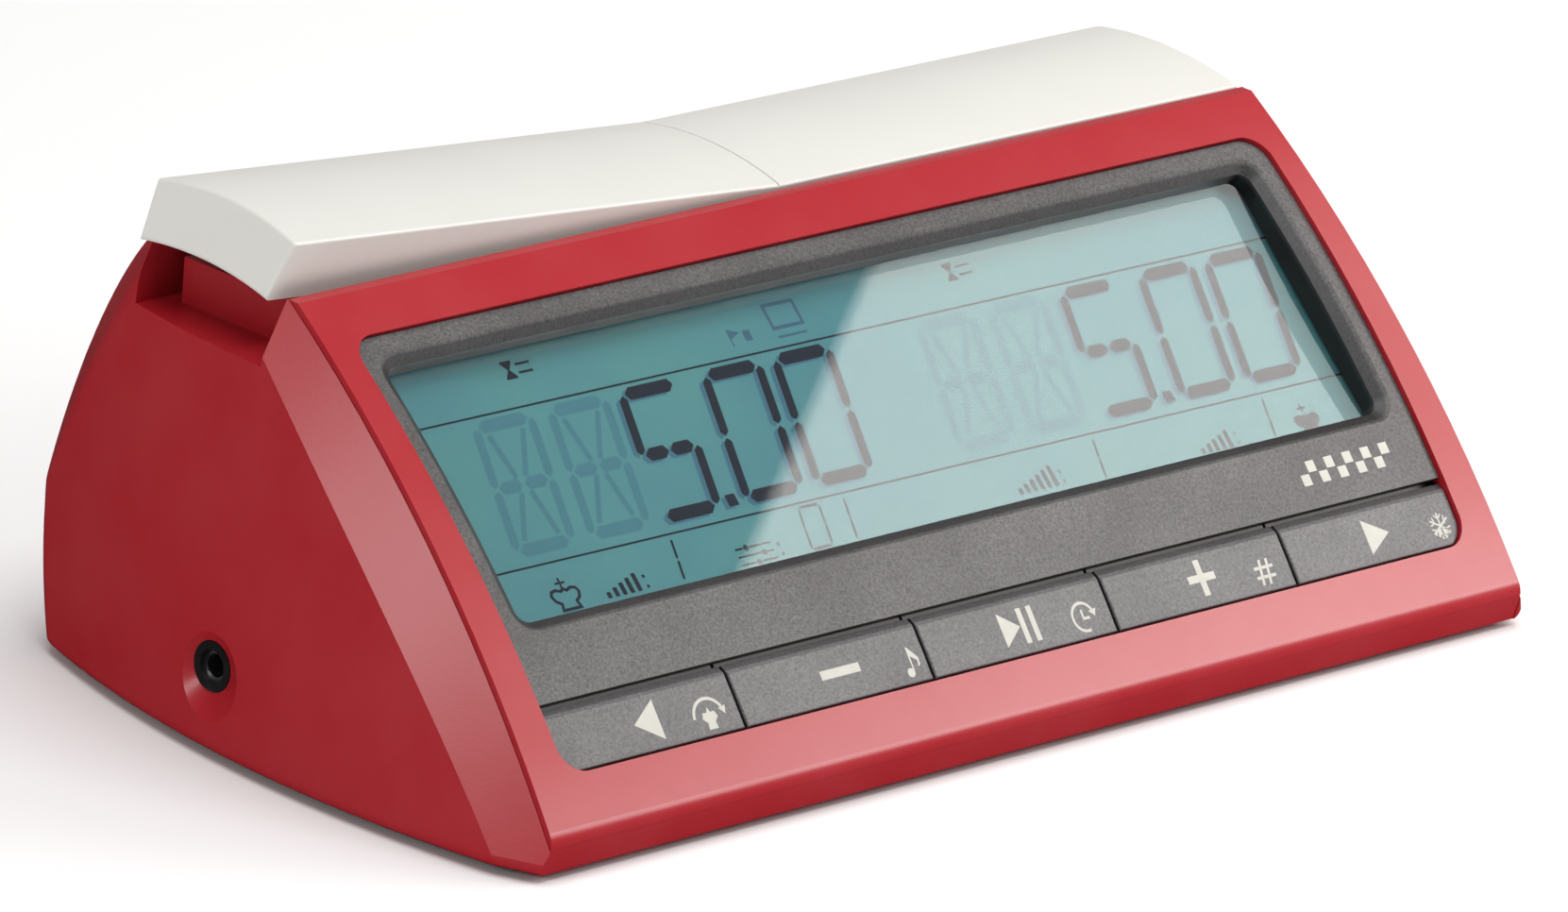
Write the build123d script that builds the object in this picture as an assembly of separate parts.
from build123d import *
import os
from math import asin, atan2, cos, degrees, hypot, radians, sin, sqrt, tan

# Digital chess clock: a wedge-shaped red case with a grey front panel, a wide liquid-crystal
# display, a row of five push buttons and a white rocker lever along the top.
#
# Everything is drawn in a workshop frame in millimetres: x to the right, y to the back, z up,
# with y = 0 and z = 0 on the bottom front edge of the case. At the end it is moved so that the
# origin is under the middle of the clock, on the surface that the feet stand on.

# ------------------------------------------------------------------ driving dimensions
# case
TOP_Z = 67.3                # flat rim around the lever
WALL = 2.2                  # moulded wall of the rear shell
FRONT_R = 242.46            # the front face is part of a cylinder that lies along x
FRONT_CY, FRONT_CZ = 197.94, -133.06
REAR_R = 57.0               # so is the back
REAR_CY, REAR_CZ = 59.8, 24.64
CHIN_Y, CHIN_Z = -1.36, 5.0
CHIN_FILLET = 4.0
SIDE_R = 187.82             # each side bows outwards: a cone whose axis leans back
SIDE_CX, SIDE_CY = 77.98, 49.17
SIDE_LEAN = 0.1061          # loss of radius per mm along the axis
SIDE_TILT = 11.77           # degrees
REAR_CORNER_R = 4.5
DOME_R = 250.95             # ball that shapes each rear corner towards the top
DOME_CX, DOME_CY, DOME_CZ = 86.14, -51.14, -23.38
BOTTOM_FILLET = 1.5
REACH = 130.0               # half length of anything that has to pass right through the case

# front shell, the red frame around the panel
FRAME_T = 2.4
FRAME_HALF_TOP = 99.1
FRAME_HALF_BOTTOM = 101.6
FACE_LENGTH = 92.6          # from the top edge of the front face to its bottom edge
FRAME_STEP = 0.8            # how far the frame stands proud of the flanks
FLANK_ANGLE = 60.0          # slope of the flank from the front face
SEAM = 0.12                 # gap between mouldings
CHIN_DEPTH = 6.0            # height and depth of the lip along the bottom of the frame
MOULD_LINE_Z = 4.35
MOULD_STEP = 0.12

# opening, panel and buttons, along the curved front: distances run down from the top edge
OPENING_TOP, OPENING_BOTTOM = 7.6, 79.7
OPENING_HALF = 94.6
OPENING_R = 4.5
PANEL_RECESS = 0.8
PANEL_T = 2.0
PANEL_END = 68.65
PANEL_GAP = 0.2
FLANGE_T = 1.3
FLANGE_REACH = 1.9
BUTTON_TOP, BUTTON_BOTTOM = 69.45, 79.25
BUTTON_EDGES = (-94.4, -57.8, -19.3, 19.3, 57.8, 94.4)
BUTTON_GAP = 0.6
BUTTON_NAMES = ("back", "minus", "play_pause", "plus", "forward")
BUTTON_T = 2.6
BUTTON_TRAVEL = 0.8
BUTTON_BEVEL_ALONG, BUTTON_BEVEL_DEEP = 1.5, 0.8
BUTTON_FLANGE = 0.9

# display
WINDOW_MID = 34.3           # along the front
WINDOW_HALF_W, WINDOW_HALF_H = 89.7, 21.55
BEVEL_ALONG, BEVEL_DEEP = 1.4, 2.1
RECESS_DEPTH = 6.0          # from the front cylinder to the window, at the middle
WINDOW_T = 1.0
LCD_HALF_W, LCD_HALF_H, LCD_T = 92.0, 23.7, 2.2
LCD_DEPTH = 7.1
BOARD_DEPTH, BOARD_T = 11.05, 1.6
BOARD_HALF_W, BOARD_LOW, BOARD_HIGH = 90.0, -45.0, 25.0

# rocker lever
LEVER_FRONT, LEVER_BACK = 63.9, 93.9
LEVER_ARC_CY, LEVER_ARC_CZ, LEVER_ARC_R = 81.6, 7.2, 63.2
LEVER_FRONT_LEAN = 0.268    # how far the front face falls back per mm of drop
LEVER_TOP = LEVER_ARC_CZ + LEVER_ARC_R
LEVER_HALF = 98.0           # along the top
LEVER_END_LEAN = 13.5       # degrees
LEVER_WALL = 2.2
LEVER_SKIRT_FRONT, LEVER_SKIRT_MID, LEVER_SKIRT_BACK = 58.9, 60.7, 60.1
WING_RISE = 2.05            # each wing rises outwards, degrees
ROCK = 2.3                  # lean of the lever to one side, degrees
CREASE_W, CREASE_D = 0.3, 0.35
PIVOT_Y, PIVOT_Z = 78.9, 62.0
AXLE_R, AXLE_CLEARANCE = 1.5, 0.05
HUB_HALF = 4.5

# trough that the lever drops into, and the island under it
TROUGH_FRONT, TROUGH_BACK, TROUGH_Z = 63.5, 94.4, 57.8
ISLAND_HALF, ISLAND_FRONT, ISLAND_BACK, ISLAND_Z = 93.8, 69.3, 91.2, 64.8
POCKET_HALF, POCKET_Z = 10.0, 56.0
REAR_LIP_Z = 66.7           # the rim is a little lower behind the lever

# jack on the left side
JACK_Y, JACK_Z = 65.9, 11.9
JACK_FACE_X = -106.6
JACK_NOSE_R, JACK_MOUTH_R, JACK_BORE_R = 3.8, 2.55, 1.8
JACK_BORE_LENGTH = 14.0
JACK_DIMPLE_R = 6.3

# underside
BASE_LOW, BASE_HIGH = 0.3, 2.5
FOOT_R, FOOT_PROUD = 5.0, 1.0
FOOT_PLACES = ((-84, 17), (84, 17), (-84, 101), (84, 101))
CELL_R, CELL_LENGTH = 7.25, 50.5
CELL_Y = (78.0, 94.2)
CELL_Z = 10.3
DOOR_HALF, DOOR_FRONT, DOOR_BACK = 30.5, 68.6, 103.6
TRAY_HALF, TRAY_FRONT, TRAY_BACK, TRAY_Z = 28.6, 69.6, 102.6, 18.4
TRAY_WALL = 1.6
POWER_X, POWER_Y, POWER_R, POWER_TRAVEL = 45.0, 45.0, 4.5, 1.0
REAR_POSTS = ((-86, 88), (86, 88))
SIDE_POSTS = ((-98.5, 46), (98.5, 46))
FRONT_POSTS = ((-98.0, 12), (98.0, 12))
POST_R, FRONT_POST_R, SCREW_R = 3.3, 2.5, 1.25
HEAD_R, HEAD_H = 2.6, 1.0
BOARD_POSTS_X = (-70, 0, 70)
BOARD_POST_V = -28.6
BOARD_SCREW_R = 0.9
SENSOR_POSTS_X = (-78, -26, 26, 78)
SENSOR_BOARD_Z = 59.0
MAGNET_X, MAGNET_R, MAGNET_T = 60.0, 3.0, 1.6
BUMPER_X, BUMPER_TOP = 85.0, 67.5
HUB_FRONT, HUB_BACK = 72.0, 88.5
JACK_DIMPLE_DEPTH = 1.3
JACK_SLEEVE_LENGTH = 5.0
JACK_POSTS = ((-98, 61.5), (-91, 70.5))
POWER_POSTS = ((37.5, 45), (52.5, 45))
POWER_BOARD_Z = 9.6


# ------------------------------------------------------------------ places on the front face
def front_angle(along):
    """Angle about the front cylinder's axis, for a distance down the face from its top edge."""
    top = atan2(TOP_Z - FRONT_CZ, front_y(TOP_Z) - FRONT_CY)
    return top + along / FRONT_R


def front_y(z, depth=0.0):
    return FRONT_CY - sqrt((FRONT_R - depth) ** 2 - (z - FRONT_CZ) ** 2)


def rear_y(z, inset=0.0):
    return REAR_CY + sqrt((REAR_R - inset) ** 2 - (z - REAR_CZ) ** 2)


def front_plane(along):
    """Plane touching the front cylinder: local x is x, local y runs up the face."""
    angle = front_angle(along)
    outward = (0, cos(angle), sin(angle))
    origin = (0, FRONT_CY + FRONT_R * cos(angle), FRONT_CZ + FRONT_R * sin(angle))
    return Plane(origin=origin, x_dir=(1, 0, 0), z_dir=outward)


def front_drum(depth):
    """The front cylinder, made smaller by a depth below the face."""
    return Pos(0, FRONT_CY, FRONT_CZ) * Rot(0, 90, 0) * Cylinder(FRONT_R - depth, 2 * REACH)


def front_layer(outer_depth, inner_depth):
    return front_drum(outer_depth) - front_drum(inner_depth)


def up_face(plane_along, along):
    """Local y, in front_plane(plane_along), of a point on the face at a distance along it."""
    return FRONT_R * sin((plane_along - along) / FRONT_R)


def slab(plane, sketch, low, high):
    """A sketch on a plane, extruded between two heights above it."""
    return extrude(plane.offset(low) * sketch, amount=high - low)


def box_between(low, high):
    size = [b - a for a, b in zip(low, high)]
    middle = [(a + b) / 2 for a, b in zip(low, high)]
    return Pos(*middle) * Box(*size)


def post(x, y, low, high, radius):
    return Pos(x, y, (low + high) / 2) * Cylinder(radius, high - low)


def both_sides(shape):
    return [shape, mirror(shape, about=Plane.YZ)]


# ------------------------------------------------------------------ outer shape of the case
def side_profile():
    """Outline of the case seen from the side: local x is y, local y is z."""
    bottom_front = (0, 0)
    chin = (CHIN_Y, CHIN_Z)
    top_front = (front_y(TOP_Z), TOP_Z)
    top_rear = (rear_y(TOP_Z), TOP_Z)
    bottom_rear = (rear_y(0), 0)
    outline = [
        Line(bottom_front, chin),
        ThreePointArc(chin, (front_y(TOP_Z / 2), TOP_Z / 2), top_front),
        Line(top_front, top_rear),
        ThreePointArc(top_rear, (rear_y(REAR_CZ), REAR_CZ), bottom_rear),
        Line(bottom_rear, bottom_front),
    ]
    face = make_face(outline)
    corner = face.vertices().sort_by_distance((CHIN_Y, CHIN_Z, 0))[0]
    return fillet(corner, CHIN_FILLET)


def side_cone(side, inset):
    """The bowed, leaning side wall as a large cone; the other side's wall is its mirror."""
    low = -40.0
    height = 160.0
    radius = SIDE_R - inset - SIDE_LEAN * low
    cone = Cone(radius, radius - SIDE_LEAN * height, height, align=(Align.CENTER, Align.CENTER, Align.MIN))
    foot = Pos(-side * SIDE_CX, SIDE_CY, 0)
    return foot * Rot(-SIDE_TILT, 0, 0) * Pos(0, 0, low) * Rot(0, 0, 90) * cone


def side_x(y, z):
    """How far the side's surface is from the middle of the clock."""
    tilt = radians(SIDE_TILT)
    up_axis = (y - SIDE_CY) * sin(tilt) + z * cos(tilt)
    off_axis = (y - SIDE_CY) * cos(tilt) - z * sin(tilt)
    return sqrt((SIDE_R - SIDE_LEAN * up_axis) ** 2 - off_axis ** 2) - SIDE_CX


def dome_cutter(inset):
    """What the ball-shaped surface takes off the case's right rear corner."""
    corner = box_between((40, 60, -20), (REACH, REACH, TOP_Z + 10))
    return corner - Pos(-DOME_CX, DOME_CY, DOME_CZ) * Sphere(DOME_R - inset)


def domed(block, inset):
    for cutter in both_sides(dome_cutter(inset)):
        block = block - cutter
    return block


def flank_cutter(inset):
    """What is cut away beyond the right-hand flank: a ring about the front cylinder's axis."""
    middle = (OPENING_TOP + OPENING_BOTTOM) / 2
    half = (FRAME_HALF_TOP + FRAME_HALF_BOTTOM) / 2
    shift_x = inset * sin(radians(FLANK_ANGLE))
    shift_r = inset * cos(radians(FLANK_ANGLE))
    start = (half - shift_x, FRONT_R - FRAME_STEP - shift_r)
    drop = 24.0
    run = drop / sin(radians(FLANK_ANGLE)) * cos(radians(FLANK_ANGLE))
    corners = [
        start,
        (start[0] + run, start[1] - drop),
        (REACH, start[1] - drop),
        (REACH, FRONT_R + 10),
        (start[0], FRONT_R + 10),
    ]
    section = Plane(origin=(0, FRONT_CY, FRONT_CZ), x_dir=(1, 0, 0), z_dir=(0, -1, 0)) * make_face(
        Polyline(*corners, close=True))
    ring = revolve(section, Axis((0, FRONT_CY, FRONT_CZ), (1, 0, 0)), 360)
    plane = front_plane(middle)
    tilt = degrees(asin((FRAME_HALF_BOTTOM - FRAME_HALF_TOP) / FACE_LENGTH))
    origin = Vector(half, 0, 0) + plane.origin
    return ring.rotate(Axis(origin, plane.z_dir), tilt)


def case_solid(inset):
    """The whole case as one block; inset walls give the space inside it."""
    profile = side_profile()
    if inset:
        profile = offset(profile, amount=-inset)
        low_y = front_y(CHIN_Z) + inset + 1.0
        high_y = rear_y(0, inset)
        strip = Pos((low_y + high_y) / 2, inset / 2 - 1) * Rectangle(high_y - low_y, inset + 4)
        profile = profile + strip
    block = extrude(Plane.YZ * profile, amount=REACH, both=True)
    block = block & side_cone(1, inset) & side_cone(-1, inset)
    for cutter in both_sides(flank_cutter(inset)):
        block = block - cutter
    return block


def rounded_case():
    """The case's outer shape with its rear corners and its bottom edges rounded."""
    block = domed(case_solid(0), 0)
    rear = [e for e in block.edges() if e.center().Y > 95 and abs(e.center().X) > 80]
    block = fillet([e for e in rear if e.bounding_box().size.Z > 15], REAR_CORNER_R)
    low = [e for e in block.edges() if e.bounding_box().max.Z < 0.01 and e.center().Y > 1]
    return fillet(low, BOTTOM_FILLET)


def trough(grow):
    """Space for the lever, left around the island; grow thickens it into its own walls."""
    well = box_between((-REACH, TROUGH_FRONT - grow, TROUGH_Z - grow),
                       (REACH, TROUGH_BACK + grow, TOP_Z + 10))
    island = box_between((-ISLAND_HALF + grow, ISLAND_FRONT + grow, TROUGH_Z - 2 * grow),
                         (ISLAND_HALF - grow, ISLAND_BACK - grow, ISLAND_Z - grow))
    pocket = box_between((-POCKET_HALF - grow, ISLAND_FRONT + WALL - grow, POCKET_Z - grow),
                         (POCKET_HALF + grow, ISLAND_BACK - WALL + grow, TOP_Z))
    return well - island + pocket


def front_zone(gap):
    """Region that belongs to the front shell: a curved plate and the lip along its bottom."""
    middle = (OPENING_TOP + OPENING_BOTTOM) / 2
    plane = front_plane(middle)
    slope = (FRAME_HALF_BOTTOM - FRAME_HALF_TOP) / FACE_LENGTH
    reach = 60.0
    centre = (FRAME_HALF_TOP + FRAME_HALF_BOTTOM) / 2 + gap
    corners = [
        (centre + slope * reach, -reach),
        (centre - slope * reach, reach),
        (-centre + slope * reach, reach),
        (-centre - slope * reach, -reach),
    ]
    outline = slab(plane, make_face(Polyline(*corners, close=True)), -40, 20)
    plate = front_layer(-20, FRAME_T + gap)
    lip = box_between((-REACH, -10, -10), (REACH, CHIN_DEPTH + gap, CHIN_DEPTH + gap))
    return outline & (plate + lip)


def panel_outline(grow, radius):
    middle = (OPENING_TOP + OPENING_BOTTOM) / 2
    height = 2 * up_face(middle, OPENING_TOP)
    return middle, RectangleRounded(2 * (OPENING_HALF + grow), height + 2 * grow, radius)


def opening_block(grow, low=-12.0, high=12.0):
    middle, outline = panel_outline(grow, OPENING_R + grow)
    return slab(front_plane(middle), outline, low, high)


def make_front_shell(case):
    space = offset(side_profile(), amount=-FRAME_T)
    shell = case & front_zone(0)
    shell = shell - extrude(Plane.YZ * space, amount=REACH, both=True)
    shell = shell - box_between((-REACH, TROUGH_FRONT, 0), (REACH, REACH, REACH))
    shell = shell - opening_block(0)
    core = extrude(Plane.YZ * offset(side_profile(), amount=-MOULD_STEP), amount=REACH, both=True)
    shell = shell - (box_between((-REACH, -5, -5), (REACH, REACH, MOULD_LINE_Z)) - core)
    for x, y in FRONT_POSTS:
        column = post(x, y, BASE_HIGH + 0.05, 30, FRONT_POST_R) & front_drum(FRAME_T / 2)
        shell = shell + column - post(x, y, 0, 14, SCREW_R)
    return shell


def make_rear_shell(case):
    space = domed(case_solid(WALL), WALL) - trough(WALL)
    shell = case - trough(0) - space
    shell = shell - box_between((-REACH, TROUGH_BACK - WALL, REAR_LIP_Z), (REACH, REACH, TOP_Z + 10))
    for x, y in REAR_POSTS:
        shell = shell + post(x, y, BASE_HIGH + 0.05, TROUGH_Z - WALL / 2, POST_R)
    for x, y in SIDE_POSTS:
        column = post(x, y, BASE_HIGH + 0.05, 60, POST_R) & front_drum(FRAME_T + FLANGE_T + 0.6)
        shell = shell + (column & case)
    for x, y in REAR_POSTS + SIDE_POSTS:
        shell = shell - post(x, y, 0, 14, SCREW_R)
    for x in SENSOR_POSTS_X:
        shell = shell + post(x, PIVOT_Y, SENSOR_BOARD_Z + BOARD_T, ISLAND_Z - WALL / 2, 2.2)
        shell = shell - post(x, PIVOT_Y, SENSOR_BOARD_Z, ISLAND_Z - 1.0, BOARD_SCREW_R)
    for x, y in FRONT_POSTS:
        shell = shell - post(x, y, BASE_HIGH, 40, FRONT_POST_R + SEAM)
    shell = shell - front_zone(SEAM)
    shell = shell - axle_rod(AXLE_R, ISLAND_FRONT + 0.2, ISLAND_BACK - 0.2)
    return shell - jack_hole()


def jack_hole():
    surface = -side_x(JACK_Y, JACK_Z)
    depth = JACK_DIMPLE_DEPTH
    slope = (JACK_DIMPLE_R - JACK_NOSE_R - 0.3) / depth
    dish = Cone(JACK_NOSE_R + 0.3, JACK_NOSE_R + 0.3 + slope * 2 * depth, 2 * depth)
    dish = Pos(surface, JACK_Y, JACK_Z) * Rot(0, -90, 0) * dish
    hole = Pos(surface, JACK_Y, JACK_Z) * Rot(0, 90, 0) * Cylinder(JACK_NOSE_R + 0.08, 20)
    return dish + hole


def axle_rod(radius, front, back):
    rod = Cylinder(radius, back - front)
    return Pos(0, (front + back) / 2, PIVOT_Z) * Rot(90, 0, 0) * rod


# ------------------------------------------------------------------ front panel and display
def window_slab(half_w, half_h, radius, deep, shallow):
    """A rounded plate parallel to the display, between two depths below the front face."""
    outline = RectangleRounded(2 * half_w, 2 * half_h, radius)
    return slab(front_plane(WINDOW_MID), outline, -deep, -shallow)


def below(along, shift=0.0):
    """Everything further down the face than a distance along it."""
    sketch = Pos(0, shift - 50) * Rectangle(2 * REACH, 100)
    return slab(front_plane(along), sketch, -40, 40)


def make_front_panel():
    panel = opening_block(-PANEL_GAP) & front_layer(PANEL_RECESS, PANEL_RECESS + PANEL_T)
    panel = panel - below(PANEL_END)
    flange_top = FRAME_T + 0.15
    flange = opening_block(FLANGE_REACH) & front_layer(flange_top, flange_top + FLANGE_T)
    panel = panel + (flange - below(PANEL_END - 3))
    rim = 1.6
    tub = window_slab(WINDOW_HALF_W + rim, WINDOW_HALF_H + rim, 3.0, RECESS_DEPTH, 0)
    panel = panel + (tub & front_drum(PANEL_RECESS + PANEL_T / 2))
    panel = panel - window_slab(WINDOW_HALF_W, WINDOW_HALF_H, 2.2, RECESS_DEPTH + 1, -5)
    plane = front_plane(WINDOW_MID)
    rim_edges = [e for e in panel.edges() if on_panel_surface(e) and in_window(plane, e)]
    panel = chamfer(rim_edges, BEVEL_DEEP, BEVEL_ALONG, reference=panel_surface(panel))
    for x in BOARD_POSTS_X:
        spot = plane * Pos(x, BOARD_POST_V)
        column = spot * Pos(0, 0, -(BOARD_DEPTH + 3.4) / 2) * Cylinder(2.4, BOARD_DEPTH - 3.4)
        pilot = spot * Pos(0, 0, -BOARD_DEPTH + 2.5) * Cylinder(BOARD_SCREW_R, 5)
        panel = panel + column - pilot
    return panel


def drum_depth(point):
    return FRONT_R - hypot(point.Y - FRONT_CY, point.Z - FRONT_CZ)


def on_panel_surface(edge):
    return all(abs(drum_depth(edge @ t) - PANEL_RECESS) < 0.01 for t in (0, 0.5, 1))


def in_window(plane, edge):
    middle = plane.to_local_coords(edge @ 0.5)
    return abs(middle.Y) < WINDOW_HALF_H + 0.5 and abs(middle.X) < WINDOW_HALF_W + 0.5


def panel_surface(panel):
    faces = [f for f in panel.faces() if abs(drum_depth(f.center()) - PANEL_RECESS) < 1.2]
    curved = [f for f in faces if f.geom_type == GeomType.CYLINDER]
    return max(curved, key=lambda f: f.area)


def make_lcd_frame():
    outer = window_slab(94.0, 25.2, 1.5, BOARD_DEPTH - 0.05, 5.75)
    return outer - window_slab(LCD_HALF_W + 0.2, LCD_HALF_H + 0.2, 0.5, 20, 0)


def make_zebra_strips():
    strip = Box(170, 2.0, BOARD_DEPTH - LCD_DEPTH - LCD_T)
    depth = (BOARD_DEPTH + LCD_DEPTH + LCD_T) / 2
    plane = front_plane(WINDOW_MID)
    return Part() + [plane * Pos(0, v, -depth) * strip for v in (-22.2, 22.2)]


def on_board(x, v, depth):
    """Location parallel to the main board, at a depth below the front face."""
    return front_plane(WINDOW_MID) * Pos(x, v, -depth)


def make_main_board():
    height = BOARD_HIGH - BOARD_LOW
    outline = Pos(0, (BOARD_HIGH + BOARD_LOW) / 2) * RectangleRounded(2 * BOARD_HALF_W, height, 2)
    board = slab(front_plane(WINDOW_MID), outline, -BOARD_DEPTH - BOARD_T, -BOARD_DEPTH)
    for x in BOARD_POSTS_X:
        board = board - on_board(x, BOARD_POST_V, BOARD_DEPTH) * Cylinder(BOARD_SCREW_R, 10)
    return board


def on_board_back(x, v, height):
    return on_board(x, v, BOARD_DEPTH + BOARD_T + height / 2)


def make_microcontroller():
    return on_board_back(-20, 2, 1.4) * Box(12, 12, 1.4)


def make_crystal():
    can = Cylinder(1.6, 8.2)
    return on_board_back(-5, 6, 3.2) * Rot(90, 0, 0) * can


def make_capacitors():
    places = ((12, -6), (20, -6), (28, -6))
    return Part() + [on_board_back(x, v, 6.0) * Cylinder(2.5, 6.0) for x, v in places]


def make_buzzer():
    can = on_board_back(52, 4, 5.0) * Cylinder(7.0, 5.0)
    return can - on_board_back(52, 4, 5.0) * Pos(0, 0, -2.5) * Cylinder(1.2, 2.0)


# ------------------------------------------------------------------ buttons
def button_mid():
    return (BUTTON_TOP + BUTTON_BOTTOM) / 2


def across_face(along, points, x_low, x_high):
    """Prism along x; its section is given as (distance up the face, height above the face)."""
    plane = front_plane(along)
    section = Plane(origin=plane.origin, x_dir=plane.y_dir, z_dir=(1, 0, 0))
    return extrude(section.offset(x_low) * make_face(Polyline(*points, close=True)), amount=x_high - x_low)


def button_span(index):
    low, high = BUTTON_EDGES[index], BUTTON_EDGES[index + 1]
    first, last = index == 0, index == len(BUTTON_NAMES) - 1
    return low + (0 if first else BUTTON_GAP / 2), high - (0 if last else BUTTON_GAP / 2)


def make_button(index):
    x_low, x_high = button_span(index)
    middle = button_mid()
    low = up_face(middle, BUTTON_BOTTOM)
    high = up_face(middle, BUTTON_TOP)
    region = across_face(middle, [(low, -9), (high, -9), (high, 9), (low, 9)], x_low, x_high)
    inner = PANEL_RECESS + BUTTON_T
    cap = region & opening_block(-PANEL_GAP) & front_layer(PANEL_RECESS, inner)
    edge = PANEL_RECESS + BUTTON_BEVEL_DEEP
    bevel = [(-BUTTON_BEVEL_ALONG, -PANEL_RECESS), (0.1, -edge), (0.1, 2), (-BUTTON_BEVEL_ALONG, 2)]
    cap = cap - across_face(BUTTON_TOP, bevel, x_low - 1, x_high + 1)
    rounded = [e for e in cap.edges() if on_panel_surface(e)]
    cap = fillet(rounded, 0.25)
    reach = BUTTON_FLANGE
    flange_low = x_low - (reach if index == 0 else 0)
    flange_high = x_high + (reach if index == len(BUTTON_NAMES) - 1 else 0)
    lip = [(low - reach, -9), (high + reach, -9), (high + reach, 9), (low - reach, 9)]
    flange = across_face(middle, lip, flange_low, flange_high) & front_layer(inner - 0.45, inner + 0.35)
    stem = front_plane(middle) * Pos((x_low + x_high) / 2, 0, -(inner + 0.5)) * Cylinder(1.8, 1.0)
    return cap + flange + stem


def make_keypad_mat():
    board = front_plane(WINDOW_MID)
    keys = front_plane(button_mid())
    floor = BOARD_DEPTH - 1.15
    sheet = Pos(0, -39.8) * RectangleRounded(2 * BOARD_HALF_W, 9.4, 2)
    mat = slab(board, sheet, -BOARD_DEPTH + 0.03, -floor)
    for index in range(len(BUTTON_NAMES)):
        middle = sum(button_span(index)) / 2
        tip = keys.from_local_coords((middle, 0, -(PANEL_RECESS + BUTTON_T + 1.0 + BUTTON_TRAVEL + 0.45)))
        spot = board.to_local_coords(tip)
        height = floor + spot.Z
        dome = Cone(3.2, 2.0, height, align=(Align.CENTER, Align.CENTER, Align.MIN))
        mat = mat + board * Pos(spot.X, spot.Y, -floor) * dome
    return mat


# ------------------------------------------------------------------ rocker lever
def crown_z(y, inset):
    """Height of the lever's arched top."""
    return LEVER_ARC_CZ + sqrt((LEVER_ARC_R - inset) ** 2 - (y - LEVER_ARC_CY) ** 2)


def wing(inset):
    """Right-hand wing of the lever; an inset one is the hollow inside it."""
    front, back = LEVER_FRONT + inset, LEVER_BACK - inset
    crown = [(y, crown_z(y, inset)) for y in (front, LEVER_ARC_CY, back)]
    if inset:
        skirt = [(front + LEVER_FRONT_LEAN * (crown[0][1] - POCKET_Z), POCKET_Z), (back, POCKET_Z)]
        lower = Polyline(*skirt)
    else:
        skirt_front = front + LEVER_FRONT_LEAN * (crown[0][1] - LEVER_SKIRT_FRONT)
        skirt = [(skirt_front, LEVER_SKIRT_FRONT), (back, LEVER_SKIRT_BACK)]
        lower = ThreePointArc(skirt[0], (PIVOT_Y, LEVER_SKIRT_MID), skirt[1])
    outline = make_face([ThreePointArc(*crown), Line(crown[2], skirt[1]), lower, Line(skirt[0], crown[0])])
    block = extrude(Plane.YZ.offset(-3) * outline, amount=REACH)
    lean = LEVER_END_LEAN
    end = LEVER_HALF - inset / cos(radians(lean))
    low, high = LEVER_TOP - 25, LEVER_TOP + 10
    ends = [(end + (LEVER_TOP - z) * tan(radians(lean)), z) for z in (low, high)]
    side = make_face(Polyline((-5, low), ends[0], ends[1], (-5, high), close=True))
    block = block & extrude(Plane.XZ * side, amount=-REACH)
    return raise_wing(block)


def raise_wing(shape):
    return shape.rotate(Axis((0, 0, LEVER_TOP), (0, 1, 0)), -WING_RISE)


def magnet(grow, low):
    top = LEVER_TOP - LEVER_WALL
    return raise_wing(post(MAGNET_X, LEVER_ARC_CY, top - low, top, MAGNET_R + grow))


def right_half(shape):
    return shape & box_between((0, -REACH, -REACH), (2 * REACH, REACH, REACH))


def lean_to_rest(shape):
    """Rocks a part of the lever from level to its rest pose, left wing up."""
    return shape.rotate(Axis((0, PIVOT_Y, PIVOT_Z), (0, 1, 0)), ROCK)


def make_rocker_lever():
    outer = right_half(wing(0))
    outer = fillet([e for e in outer.edges() if visible_lever_edge(e)], 0.5)
    boss = right_half(wing(0)) & magnet(1.0, MAGNET_T)
    half = outer - right_half(wing(LEVER_WALL)) + boss - magnet(0, MAGNET_T)
    lever = Part() + both_sides(half)
    block = box_between((-HUB_HALF, HUB_FRONT, PIVOT_Z), (HUB_HALF, HUB_BACK, LEVER_TOP - 1))
    block = block + axle_rod(HUB_HALF, HUB_FRONT, HUB_BACK)
    lever = lever + block - axle_rod(AXLE_R + AXLE_CLEARANCE, 0, 2 * PIVOT_Y)
    ring = Cylinder(LEVER_ARC_R + 3, CREASE_W) - Cylinder(LEVER_ARC_R - CREASE_D, CREASE_W)
    groove = Pos(0, LEVER_ARC_CY, LEVER_ARC_CZ) * Rot(0, 90, 0) * ring
    return lean_to_rest(lever - groove)


def visible_lever_edge(edge):
    box = edge.bounding_box()
    outer_end = box.min.X > LEVER_HALF - 3
    top_long = box.size.X > 50 and edge.center().Z > LEVER_TOP - 4
    return outer_end or top_long


def make_lever_magnets():
    return Part() + [lean_to_rest(m) for m in both_sides(magnet(0, MAGNET_T))]


def make_sensor_boards():
    board = box_between((18, 72.1, SENSOR_BOARD_Z), (86, 88.3, SENSOR_BOARD_Z + BOARD_T))
    for x in SENSOR_POSTS_X:
        board = board - post(abs(x), PIVOT_Y, SENSOR_BOARD_Z - 1, SENSOR_BOARD_Z + 5, BOARD_SCREW_R)
    return Part() + both_sides(board)


def make_hall_sensors():
    chip = Pos(MAGNET_X, LEVER_ARC_CY, SENSOR_BOARD_Z + BOARD_T + 0.6) * Box(4.0, 3.2, 1.2)
    return Part() + both_sides(chip)


def make_stop_bumpers():
    pad = post(BUMPER_X, LEVER_ARC_CY, ISLAND_Z, BUMPER_TOP, 4.0)
    return Part() + both_sides(fillet(pad.edges().sort_by(Axis.Z)[-1], 0.4))


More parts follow.
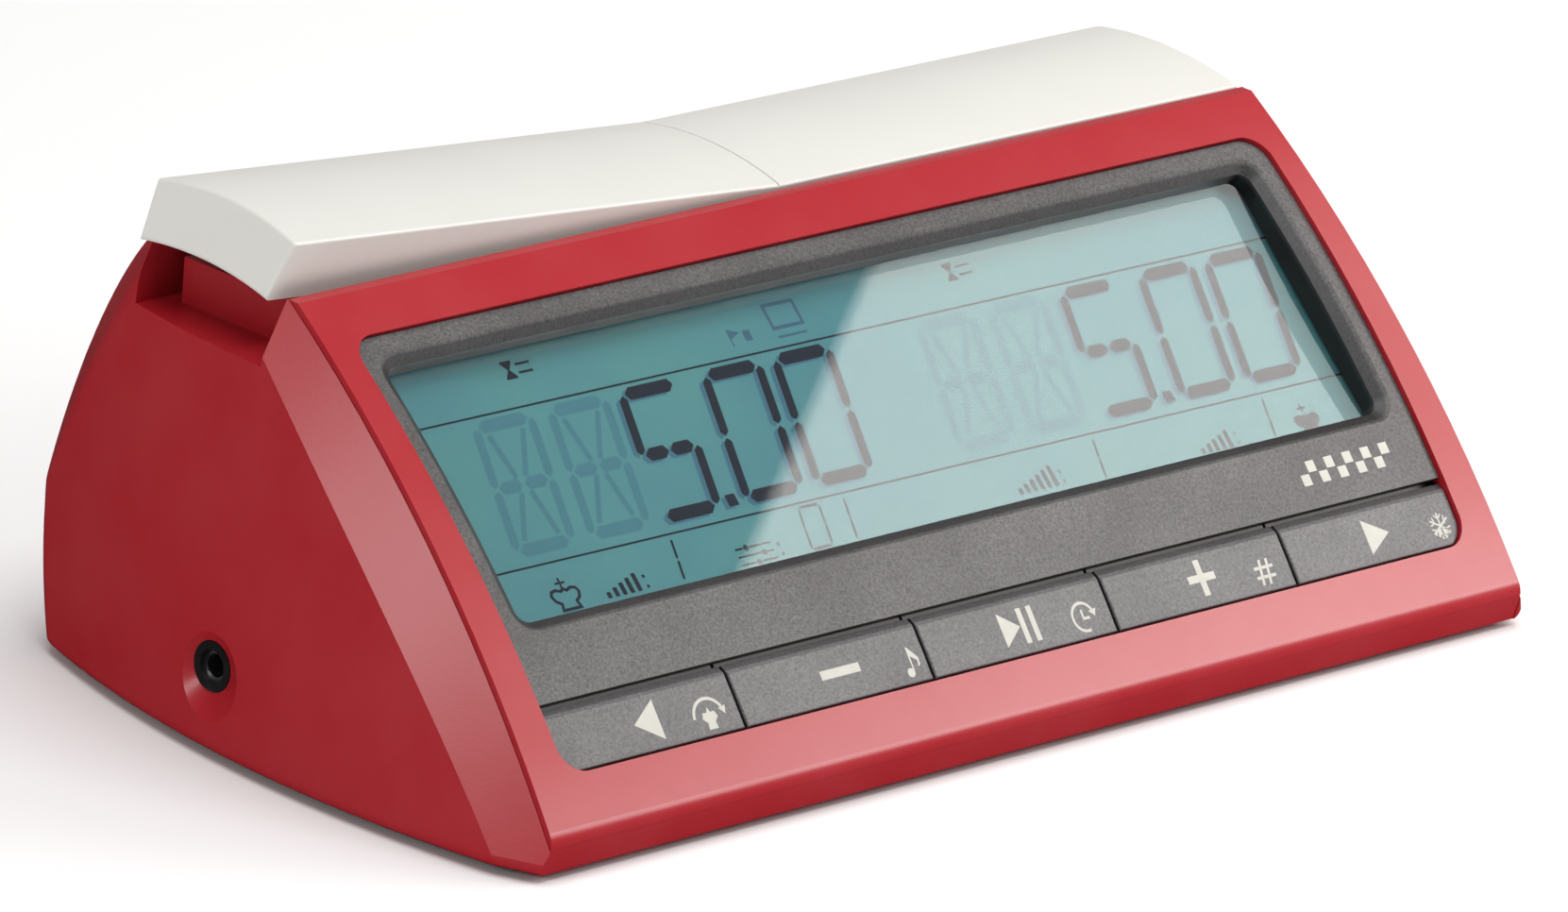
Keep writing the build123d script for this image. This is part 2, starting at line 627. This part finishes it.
# ------------------------------------------------------------------ jack
def along_x(radius, x_low, x_high):
    rod = Cylinder(radius, x_high - x_low)
    return Pos((x_low + x_high) / 2, JACK_Y, JACK_Z) * Rot(0, 90, 0) * rod


def make_jack_socket():
    bore_start = JACK_FACE_X + 0.9
    half = 4.5
    body = box_between((JACK_FACE_X + 2.6, JACK_Y - half, JACK_Z - half),
                       (-91.0, JACK_Y + half, JACK_Z + half))
    socket = body + along_x(JACK_NOSE_R, JACK_FACE_X, JACK_FACE_X + 3.5)
    mouth = Cone(JACK_BORE_R + 0.5, JACK_MOUTH_R, 0.9)
    socket = socket - Pos(bore_start - 0.45, JACK_Y, JACK_Z) * Rot(0, -90, 0) * mouth
    socket = socket - along_x(JACK_BORE_R + 0.5, bore_start, bore_start + JACK_SLEEVE_LENGTH)
    return socket - along_x(JACK_BORE_R, bore_start, bore_start + JACK_BORE_LENGTH)


def make_jack_sleeve():
    start = JACK_FACE_X + 0.9
    tube = along_x(JACK_BORE_R + 0.5, start, start + JACK_SLEEVE_LENGTH)
    return tube - along_x(JACK_BORE_R, start - 1, start + 20)


def make_jack_board():
    top = JACK_Z - 4.5
    return box_between((-104.0, JACK_Y - 7, top - BOARD_T), (-88.0, JACK_Y + 7, top))


# ------------------------------------------------------------------ underside
def make_base_plate():
    lip = box_between((-FRAME_HALF_BOTTOM - 0.3, -10, 0), (FRAME_HALF_BOTTOM + 0.3, CHIN_DEPTH + 0.2, 10))
    slab_region = box_between((-REACH, -10, BASE_LOW), (REACH, REACH, BASE_HIGH))
    plate = (case_solid(WALL + 0.15) & slab_region) - lip
    wall = TRAY_WALL
    tray = box_between((-DOOR_HALF - wall, DOOR_FRONT - wall, BASE_LOW),
                       (DOOR_HALF + wall, DOOR_BACK + wall, TRAY_Z + wall))
    plate = plate + tray
    plate = plate - box_between((-TRAY_HALF, TRAY_FRONT, -1), (TRAY_HALF, TRAY_BACK, TRAY_Z))
    plate = plate - box_between((-DOOR_HALF, DOOR_FRONT, -1), (DOOR_HALF, DOOR_BACK, BASE_HIGH))
    for x, y in REAR_POSTS + SIDE_POSTS + FRONT_POSTS:
        plate = plate - post(x, y, 0, 3, SCREW_R + 0.3)
        plate = plate - post(x, y, 0, BASE_LOW + HEAD_H + 0.1, HEAD_R + 0.2)
    for x, y in FOOT_PLACES:
        plate = plate - post(x, y, 0, 0.8, FOOT_R)
    plate = plate - post(POWER_X, POWER_Y, 0, 5, POWER_R + 0.2)
    for x, y in POWER_POSTS:
        plate = plate + post(x, y, BASE_HIGH - 0.2, POWER_BOARD_Z, 1.8)
    for x, y in JACK_POSTS:
        plate = plate + post(x, y, BASE_HIGH - 0.2, JACK_Z - 4.5 - BOARD_T, 1.8)
    return plate


def make_battery_door():
    gap = 0.15
    low = (-DOOR_HALF + gap, DOOR_FRONT + gap, BASE_LOW)
    high = (DOOR_HALF - gap, DOOR_BACK - gap, BASE_HIGH - gap)
    door = box_between(low, high)
    door = chamfer(door.faces().sort_by(Axis.Z)[0].edges(), 0.3)
    for step in range(5):
        y = DOOR_FRONT + 4 + 1.6 * step
        door = door - box_between((-8, y, BASE_LOW - 1), (8, y + 0.8, BASE_LOW + 0.4))
    return door


def make_battery(y):
    can = Cylinder(CELL_R, CELL_LENGTH - 1.2)
    can = fillet(can.edges(), 0.8)
    nub = Pos(0, 0, (CELL_LENGTH - 1.2) / 2 + 0.6) * Cylinder(2.7, 1.2)
    side = 1 if y == CELL_Y[0] else -1
    return Pos(0, y, CELL_Z) * Rot(0, 90 * side, 0) * Pos(0, 0, -0.6) * (can + nub)


def make_battery_contacts():
    plates = []
    for side in (-1, 1):
        for y in CELL_Y:
            x = side * (TRAY_HALF - 0.25)
            plates.append(Pos(x, y, CELL_Z) * Box(0.5, 12, 12))
    return Part() + plates


def make_battery_springs():
    """Conical contact springs, drawn as closely stacked coils."""
    springs = Part()
    wire = 0.45
    reach = TRAY_HALF - 0.5 - CELL_LENGTH / 2
    turns = 4
    for side, y in ((-1, CELL_Y[0]), (1, CELL_Y[1])):
        pitch = (reach - 2 * wire) / (turns - 1)
        outer = side * (TRAY_HALF - 0.5 - wire)
        coil = Part()
        for turn in range(turns):
            ring = Torus(4.6 - 0.75 * turn, wire)
            coil = coil + Pos(outer - side * pitch * turn, y, CELL_Z) * Rot(0, 90, 0) * ring
        springs = springs + coil
    return springs


def make_power_button():
    cap = post(POWER_X, POWER_Y, BASE_LOW + 0.3, 5.0, POWER_R)
    cap = fillet(cap.edges().sort_by(Axis.Z)[0], 0.5)
    return cap + post(POWER_X, POWER_Y, BASE_HIGH + 0.15, BASE_HIGH + 1.0, POWER_R + 1.2)


def make_power_switch():
    low = 5.0 + POWER_TRAVEL + 0.1
    return post(POWER_X, POWER_Y, low, low + 1.0, 1.7) + box_between(
        (POWER_X - 3, POWER_Y - 3, low + 1.0), (POWER_X + 3, POWER_Y + 3, POWER_BOARD_Z))


def make_power_board():
    return Pos(POWER_X, POWER_Y, POWER_BOARD_Z + BOARD_T / 2) * Box(18, 12, BOARD_T)


def screw(x, y, head_low, tip, radius, head_r, head_h):
    body = post(x, y, head_low, head_low + head_h, head_r) + post(x, y, head_low, tip, radius)
    for length, width in ((head_r * 1.2, 0.5), (0.5, head_r * 1.2)):
        body = body - Pos(x, y, head_low) * Box(length, width, head_h)
    return body


def make_base_screws():
    places = REAR_POSTS + SIDE_POSTS + FRONT_POSTS
    return Part() + [screw(x, y, BASE_LOW + 0.1, 12.5, SCREW_R, HEAD_R, HEAD_H) for x, y in places]


def make_board_screws():
    plane = front_plane(WINDOW_MID)
    screws = []
    for x in BOARD_POSTS_X:
        spot = plane * Pos(x, BOARD_POST_V, -(BOARD_DEPTH + BOARD_T))
        screws.append(spot * screw(0, 0, -0.8, BOARD_T + 3.5, BOARD_SCREW_R, 1.9, 0.8))
    for x in SENSOR_POSTS_X:
        low = SENSOR_BOARD_Z - 0.8
        screws.append(screw(x, PIVOT_Y, low, low + 4.6, BOARD_SCREW_R, 1.9, 0.8))
    return Part() + screws


def make_rubber_feet():
    feet = []
    for x, y in FOOT_PLACES:
        foot = post(x, y, -FOOT_PROUD, 0.8, FOOT_R)
        feet.append(fillet(foot.edges().sort_by(Axis.Z)[0], 0.4))
    return Part() + feet


def make_rating_label():
    return box_between((-75, 25, BASE_LOW - 0.12), (-30, 55, BASE_LOW))


# ------------------------------------------------------------------ build and write
def make_parts():
    case = rounded_case()
    parts = {
        "front_shell": make_front_shell(case),
        "rear_shell": make_rear_shell(case),
        "base_plate": make_base_plate(),
        "front_panel": make_front_panel(),
        "display_window": window_slab(WINDOW_HALF_W + 1.2, WINDOW_HALF_H + 1.2, 2.0,
                                      RECESS_DEPTH + WINDOW_T, RECESS_DEPTH),
        "lcd_glass": window_slab(LCD_HALF_W, LCD_HALF_H, 0.4, LCD_DEPTH + LCD_T, LCD_DEPTH),
        "lcd_frame": make_lcd_frame(),
        "zebra_strips": make_zebra_strips(),
        "main_board": make_main_board(),
        "microcontroller": make_microcontroller(),
        "crystal_oscillator": make_crystal(),
        "board_capacitors": make_capacitors(),
        "buzzer": make_buzzer(),
        "board_screws": make_board_screws(),
        "keypad_mat": make_keypad_mat(),
        "rocker_lever": make_rocker_lever(),
        "rocker_axle": axle_rod(AXLE_R, ISLAND_FRONT + 0.2, ISLAND_BACK - 0.2),
        "lever_magnets": make_lever_magnets(),
        "sensor_boards": make_sensor_boards(),
        "hall_sensors": make_hall_sensors(),
        "stop_bumpers": make_stop_bumpers(),
        "jack_socket": make_jack_socket(),
        "jack_sleeve": make_jack_sleeve(),
        "jack_board": make_jack_board(),
        "battery_front": make_battery(CELL_Y[0]),
        "battery_rear": make_battery(CELL_Y[1]),
        "battery_contacts": make_battery_contacts(),
        "battery_springs": make_battery_springs(),
        "battery_door": make_battery_door(),
        "base_screws": make_base_screws(),
        "rubber_feet": make_rubber_feet(),
        "power_button": make_power_button(),
        "power_switch": make_power_switch(),
        "power_board": make_power_board(),
        "rating_label": make_rating_label(),
    }
    for index, name in enumerate(BUTTON_NAMES):
        parts["button_" + name] = make_button(index)
    return case, parts


def main():
    case, parts = make_parts()
    middle_y = case.bounding_box().center().Y
    to_origin = Pos(0, -middle_y, FOOT_PROUD)
    os.makedirs("parts", exist_ok=True)
    for name, shape in parts.items():
        export_step(to_origin * shape, "parts/" + name + ".step")
    print("origin is at workshop y", middle_y)
    print("press direction of the buttons", front_plane(button_mid()).z_dir * -1)


main()
